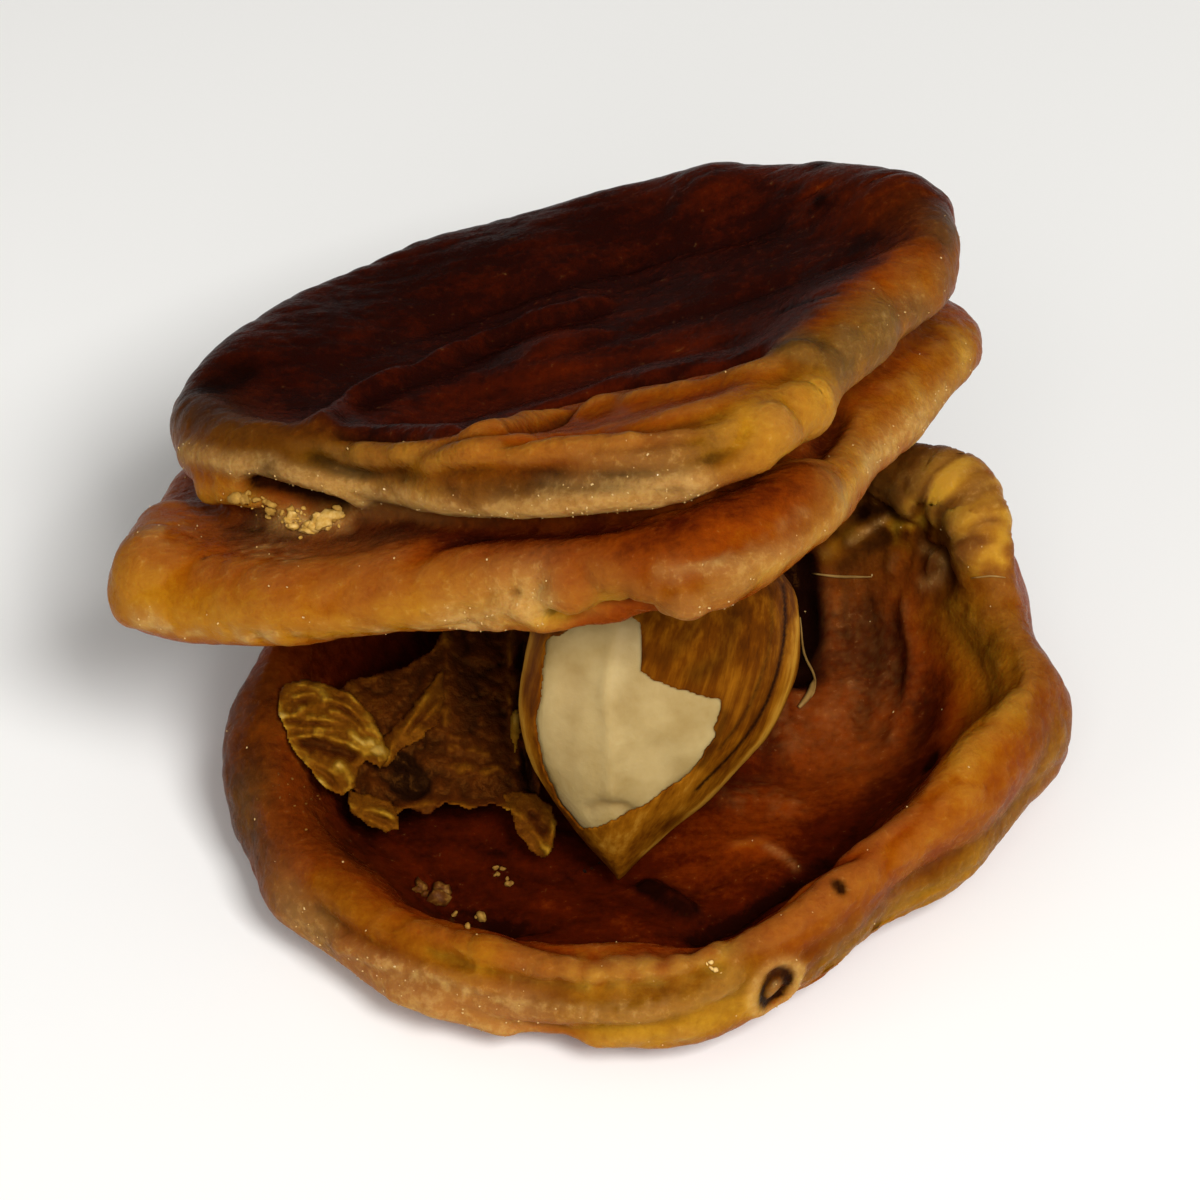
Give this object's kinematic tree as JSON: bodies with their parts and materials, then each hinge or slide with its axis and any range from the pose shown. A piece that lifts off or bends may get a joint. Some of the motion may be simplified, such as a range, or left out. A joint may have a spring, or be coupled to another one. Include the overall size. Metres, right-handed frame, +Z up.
{
  "type": "dried apricot",
  "caption": "Sun-dried apricot opened like a shell: a shallow lower half, a creased upper half tilted over it, and the kernel in its torn brown coat standing between them.",
  "frame": {"origin": "on the surface it rests on, under the middle of the fruit's outline seen from above", "axes": "+Z up, -Y towards the open side between the halves, +X to the right of that side"},
  "size_m": [0.0474, 0.0458, 0.03],
  "materials": {
    "lower_flesh": "amber dried flesh, moist satin sheen, pale bloom on its rim",
    "upper_flesh": "dark red-brown dried flesh, amber at its edges, satin sheen",
    "kernel": "cream seed flesh, matte",
    "kernel_coat": "papery brown seed coat with fine veins, matte",
    "lining": "golden papery shred, thin and glossy"
  },
  "bodies": {
    "root": {"lower_half": "lower_flesh", "upper_half": "upper_flesh", "kernel": "kernel", "kernel_coat": "kernel_coat", "lining": "lining"}
  },
  "joints": []
}
